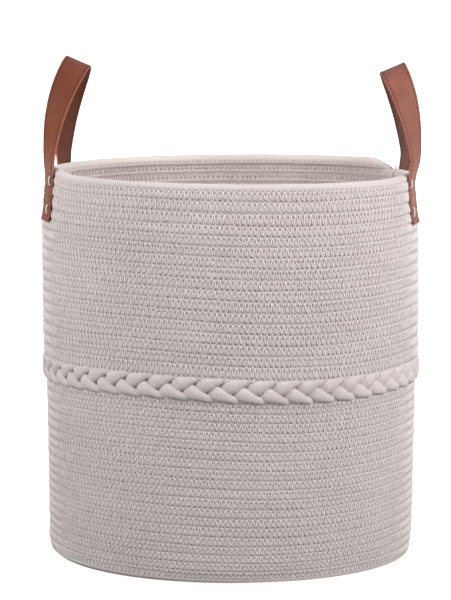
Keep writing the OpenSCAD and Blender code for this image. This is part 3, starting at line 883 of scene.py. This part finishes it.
class Handle:
    """One strap: its line on the glue surface, and the directions across it and out of its grained face.
    half is half the angle between its ends and turn how far it is turned back, in degrees; the other sizes
    are in millimetres."""

    def __init__(self, name, side, half, turn, loop_h, loop_lean, set_in, front_lift):
        self.name, self.side, self.half = name, side, math.radians(half)
        self.loop_h, self.loop_lean, self.set_in = loop_h * MM, loop_lean * MM, set_in * MM
        self.lift = {"front": front_lift * MM, "rear": 0.0}
        back = math.radians(turn)
        self.out = np.array([side * math.cos(back), math.sin(back), 0])
        self.rear = np.array([-side * math.sin(back), math.cos(back), 0])
        middle = 180 - turn if side < 0 else turn
        self.azimuths = {"front": middle - side * half, "rear": middle + side * half}
        rim_r = upper_wall_r(HEIGHT - RIM_D / 2)
        self.half_gap = (rim_r + 2 * MM) * math.sin(self.half)
        self.fold_face = math.sqrt(rim_r**2 - (self.half_gap - STRAP_W / 2) ** 2) + LOOP_OFF
        wall = [self.wall("front", z) for z in np.linspace(END_LOW, WALL_PART_TOP, 7)]
        down = [self.wall("rear", z) for z in np.linspace(WALL_PART_TOP, END_LOW, 7)]
        line = smooth_line(np.array([*wall, *self.loop(np.radians(np.arange(9, 172, 6.0))), *down]), 1.0 * MM)
        self.along_at = np.linspace(0, 1, len(line)) * (len(line) - 1) * MM
        self.length = self.along_at[-1]
        self.place = line[:, :3]
        self.along = unit(np.gradient(self.place, axis=0))
        across = line[:, 3:]
        self.across = unit(across - self.along * (across * self.along).sum(1, keepdims=True))
        self.face = np.cross(self.across, self.along) * -side
        from_end = np.minimum(self.along_at, self.length - self.along_at)
        curl = 0.9 * MM * smooth(1 - from_end / (10 * MM)) ** 1.5
        dips = sum(np.exp(-((self.place[:, 2] - z) / (4 * MM)) ** 2) for z in LASHINGS)
        wave = 0.25 * MM * ripple(self.along_at / MM * 2.2, 60 + side) * smooth(from_end / (60 * MM))
        self.place = self.place + self.face * (curl - 0.3 * MM * dips + wave)[:, None]

    def wall(self, end, z):
        azimuth = self.azimuths[end]
        a = math.radians(azimuth)
        r = wall_face(azimuth, z) + GLUE_OFF
        rear = math.cos(self.half) * (1 if end == "rear" else -1)
        return np.concatenate([(r * math.cos(a), r * math.sin(a), z + self.lift[end]),
                               self.rear * rear - self.out * math.sin(self.half)])

    def loop(self, q):
        h = np.sin(q)
        u = -self.half_gap * np.sign(np.cos(q)) * np.abs(np.cos(q)) ** 0.9
        bend = self.set_in * (1 - np.exp(-self.loop_h * h / SET_IN_H))
        w = self.fold_face - bend - self.loop_lean * h**LEAN_POWER
        place = self.rear * u[:, None] + self.out * w[:, None] + UP * (FOLD_Z + self.loop_h * h)[:, None]
        twist = self.half + (math.pi / 2 - self.half) * (1 - (1 - h) ** TWIST_POWER)
        twist = np.where(np.cos(q) > 0, twist, math.pi - twist)[:, None]
        tip = (CROWN_TIP * h)[:, None]
        across = -self.rear * np.cos(twist) - (self.out * np.cos(tip) + UP * np.sin(tip)) * np.sin(twist)
        return np.concatenate([place, across], 1)

    def along_strap(self, s, values):
        return np.stack([np.interp(s, self.along_at, values[:, k]) for k in range(3)], -1)

    def at(self, s, v, height):
        """Points s along the strap, v across it and height off its glue surface, on the grained side."""
        return (self.along_strap(s, self.place) + self.along_strap(s, self.across) * np.asarray(v)[..., None]
                + self.along_strap(s, self.face) * np.asarray(height)[..., None])

    def hole_places(self):
        """How far along the strap each punched hole lies."""
        z = self.place[:, 2]
        half = len(z) // 2
        shift = WALL_R * LASHING_TURN
        found = []
        for centre in LASHINGS:
            for end in (-1, 1):
                target = centre + end * LASHING_L / 2
                found += [(self.along_at[np.argmin(np.abs(z[:half] - target - self.lift["front"]))], shift),
                          (self.along_at[half + np.argmin(np.abs(z[half:] - target))], -shift)]
        return found

    def join(self, piece, material, nodes):
        """Gives a piece its material, bakes its place into its mesh, and hides the model's parts that it
        replaces.
        """
        piece.data.materials.append(material)
        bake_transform(piece)
        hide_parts(*nodes)

    def layer(self, kind, sign, slot, material):
        """One of the strap's two leathers, with its raw edges, stitch channels and punched holes."""
        edge = STRAP_W / 2
        half_v = np.array([0, 0.7, 1.4, 2.2, 3.2, 4.5, 6, 7.8, 9.4,
                           10.5, 11.1, 11.6, 12.1, 12.7, 13.3, 13.75, 14.0])
        v = np.concatenate([-half_v[:0:-1], half_v]) * MM
        shape = np.broadcast_to(self.along_at[:, None], (len(self.along_at), len(v)))
        rounding = 0.45 * MM * smooth((np.abs(v) - edge + 0.8 * MM) / (0.8 * MM)) ** 2
        channel = 0.22 * MM * np.exp(-((np.abs(v) - EDGE_ROW) / (0.5 * MM)) ** 2)
        in_row = np.exp(-((np.abs(v) - EDGE_ROW) / (0.55 * MM)) ** 2)
        needle = 0.8 * np.cos(math.pi * (self.along_at - 1.6 * MM) / EDGE_STITCH) ** 12
        distance = np.min([np.hypot(shape - s, v[None] - across) for s, across in self.hole_places()], axis=0)
        hole = np.exp(-((distance / (1.3 * MM)) ** 4))
        top = LEATHER_T - rounding[None] - channel[None] - 0.8 * MM * hole
        hole = np.maximum(hole, needle[:, None] * in_row[None])
        back = np.array([edge, edge * 0.5, 0, -edge * 0.5, -edge])
        upper = self.at(shape, np.broadcast_to(v, shape.shape), sign * top)
        s_back = np.broadcast_to(self.along_at[:, None], (len(self.along_at), len(back)))
        lower = self.at(s_back, np.broadcast_to(back, s_back.shape), np.full(s_back.shape, sign * GLUE_GAP))
        rings = np.concatenate([upper, lower], 1)
        piece = sweep(f"{self.name}_strap_{kind}", rings)
        worn = np.concatenate([smooth((np.abs(v) - edge + 0.7 * MM) / (0.6 * MM)), [1, 1, 0, 1, 1]])
        worn = np.broadcast_to(worn, rings.shape[:2]).copy()
        worn[[0, -1]] = 1
        paint(piece, "edge", worn)
        # 'hole' marks punched holes and needle punctures, which the material paints dark as painted shade.
        paint(piece, "hole", np.concatenate([hole, np.zeros(s_back.shape)], 1))
        self.join(piece, material, [f"{self.name}_loop_{kind}", f"{self.name}_front_end_{kind}",
                                          f"{self.name}_rear_end_{kind}"])

    def edge_stitches(self):
        """Four rows of lockstitch: each stitch lies on the leather and dips into it at both ends."""
        starts = np.arange(4 * MM, self.length - 8 * MM, EDGE_STITCH)
        s = (starts[:, None] + np.array([0, 0.35, 1.7, 3.05, 3.4, 4.2])[None] * MM).ravel()
        off = np.tile(np.array([-0.55, 0.0, 0.12, 0.0, -0.55, -0.75]) * MM, len(starts))
        for sign, face in ((1, "outer"), (-1, "inner")):
            for row, place in ((1, "a"), (-1, "b")):
                line = self.at(s, np.full(s.shape, row * EDGE_ROW), sign * (LEATHER_T + off))
                rings = thread_rings(line, self.along_strap(s, self.face) * sign, EDGE_THREAD_D, 6)
                piece = sweep(f"{self.name}_edge_stitching_{face}_{place}", rings)
                self.join(piece, STITCHING, [f"{self.name}_loop_edge_stitching"])

    def pad(self, end):
        """The dark pad, pressed between the rope rows and the strap and a little wider than it."""
        azimuth = self.azimuths[end]
        zs = np.arange(END_LOW + 1.5 * MM, FOLD_Z - 3 * MM, 1.0 * MM)
        half = STRAP_W / 2 + 0.2 * MM
        v = np.linspace(-half, half, 15)
        ragged = 0.35 * MM * ripple(zs / MM * 31, 70)
        rings = []
        for off, order in ((0.75 * MM, v), (-0.6 * MM, v[::-1])):
            width = order[None] * (1 + ragged[:, None] / half)
            z = np.broadcast_to(zs[:, None], width.shape)
            r = wall_face(azimuth, z) + off
            a = math.radians(azimuth) + width / r
            rings.append(np.stack([r * np.cos(a), r * np.sin(a), z + self.lift[end]], -1))
        piece = sweep(f"{self.name}_{end}_pad", np.concatenate(rings, 1))
        finish_piece(piece, "basket", "backing_pad", PAD, f"{self.name}_{end}_end_pad")

    def lashing(self, end):
        """White cord in two stitches: over the strap, through it and the wall, and up the wall's inside."""
        azimuth = self.azimuths[end]
        a = math.radians(azimuth) - self.side * LASHING_TURN
        out = np.array([math.cos(a), math.sin(a), 0])
        sideways = np.array([-math.sin(a), math.cos(a), 0])
        t = np.linspace(0, 2 * math.pi, 64, endpoint=False)
        for k, centre in enumerate(LASHINGS):
            face = float(wall_face(azimuth, centre))
            outer = face + GLUE_OFF + LEATHER_T + CORD_D * 0.42
            inner = face - UPPER_T - CORD_D * 0.9
            r = (outer + inner) / 2 + (outer - inner) / 2 * np.sign(np.cos(t)) * np.abs(np.cos(t)) ** 0.16
            z = centre + self.lift[end] + LASHING_L / 2 * np.sign(np.sin(t)) * np.abs(np.sin(t)) ** 0.75
            slant = 0.35 * MM * np.sin(t) * (1 if k else -1)
            line = out * r[:, None] + sideways * slant[:, None] + UP * z[:, None]
            ring = thread_rings(np.concatenate([line[-2:], line, line[:2]]), sideways, CORD_D, 10)[2:-2]
            piece = sweep(f"{self.name}_{end}_lashing_{'upper' if k == 0 else 'lower'}", ring, closed=True)
            finish_piece(piece, "basket", "lashing_cord", CORD, f"{self.name}_{end}_lashing")


def build_handles():
    left = Handle("left", -1, half=19.5, turn=3.5, loop_h=113, loop_lean=23.5, set_in=4, front_lift=3.5)
    right = Handle("right", 1, half=15.5, turn=1, loop_h=106.5, loop_lean=20.5, set_in=0, front_lift=0)
    for handle in (left, right):
        handle.layer("leather", 1, "leather", LEATHER)
        handle.layer("lining", -1, "leather_lining", LINING)
        handle.edge_stitches()
        for end in ("front", "rear"):
            handle.pad(end)
            handle.lashing(end)


def build_tack():
    """Three bars of thread over the rim rope's tip, and the loose end of it that stands in a small loop."""
    level = np.array([0.1, 0.5, 0.85, 1.0, 0.85, 0.5, 0.1])
    face = np.array([1, 1, 1, 1, -1, -1, -1])
    for i in range(3):
        angle = np.full(7, RIM_END + 2.0 + 1.7 * i)
        line = upper_point(angle + np.linspace(-0.5, 0.5, 7), level, face, np.full(7, 0.35 * MM))
        out = unit(line - upper_point(angle, np.zeros(7), face, np.zeros(7)) + UP * 1e-5)
        line[[0, -1], 2] -= 1.5 * MM
        piece = sweep(f"rim_tack_bar_{i + 1}", thread_rings(line, out, THREAD_D, 8))
        finish_piece(piece, "basket", "seam_thread", SEAM, "rim_end_tack")
    t = np.linspace(-0.25, math.pi + 0.25, 20)
    azimuth = RIM_END - 3.5
    foot = upper_point(np.array([azimuth + TURN]), np.array([1.0]), np.array([1]), np.array([0.0]))[0]
    a = math.radians(azimuth)
    inward = np.array([-math.cos(a), -math.sin(a), 0])
    sideways = np.array([-math.sin(a), math.cos(a), 0])
    loop = inward * 1.5 + sideways * 2.0 * np.cos(t)[:, None] + UP * 3.6 * np.sin(t)[:, None]
    line = foot + loop * MM
    piece = sweep("rim_tack_loop", thread_rings(line, inward, 0.8 * THREAD_D, 8))
    finish_piece(piece, "basket", "seam_thread", SEAM, "rim_end_tack")


build_handles()
build_tack()


# ---- the camera, the floor and the light -------------------------------------------------------

# The light from all round grows towards the right, the back and above
SKY_LEVEL = 0.515
SKY_SLOPE = (0.14, 0.06, 0.29)


def softbox(name, place, target, size, power):
    lamp = bpy.data.lights.new(name, "AREA")
    lamp.shape = "RECTANGLE"
    lamp.size, lamp.size_y = size
    lamp.energy = power
    box = bpy.data.objects.new(name, lamp)
    box.location = place
    box.rotation_euler = (Vector(target) - Vector(place)).to_track_quat("-Z", "Y").to_euler()
    bpy.context.scene.collection.objects.link(box)


def build_stage():
    bpy.ops.mesh.primitive_plane_add(size=80, location=(0, 0, -0.0002))
    floor = bpy.context.object
    floor.name = "floor"
    n = Nodes("floor_paint", 0.9, Specular_IOR_Level=0.1)
    far = n.node("ShaderNodeVectorMath", "Value", {"operation": "LENGTH"}, i0=n.place())
    away = n.remap(far, 0.2, 0.9, 0.8, 0.95)
    n.put(n.shader.inputs["Emission Color"], (1.0, 1.0, 1.0))
    n.put(n.shader.inputs["Emission Strength"], away)
    floor.data.materials.append(n.done((0.9, 0.9, 0.9)))
    floor.visible_diffuse = False

    n = World("studio")
    towards = n.node("ShaderNodeTexCoord", "Generated")
    level = n.node("ShaderNodeVectorMath", "Value", {"operation": "DOT_PRODUCT"}, i0=towards, i1=SKY_SLOPE)
    n.put(n.shader.inputs["Color"], (1.0, 1.0, 1.0))
    n.put(n.shader.inputs["Strength"], n.math("ADD", level, SKY_LEVEL))
    softbox("softbox_right", (0.85, -0.62, 0.76), (0, 0, 0.3), (0.5, 0.5), 7.2)
    softbox("softbox_left", (-0.85, -0.62, 0.76), (0, 0, 0.3), (0.5, 0.5), 6.4)


def build_camera():
    camera = bpy.data.objects.new("camera", bpy.data.cameras.new("camera"))
    bpy.context.scene.collection.objects.link(camera)
    camera.location = (-0.0049, -3.003, 0.6305)
    camera.rotation_euler = (math.radians(90 - 7.0), 0, 0)
    camera.data.lens = 173.5
    bpy.context.scene.camera = camera


build_stage()
build_camera()
bpy.context.scene.view_settings.view_transform = "Standard"
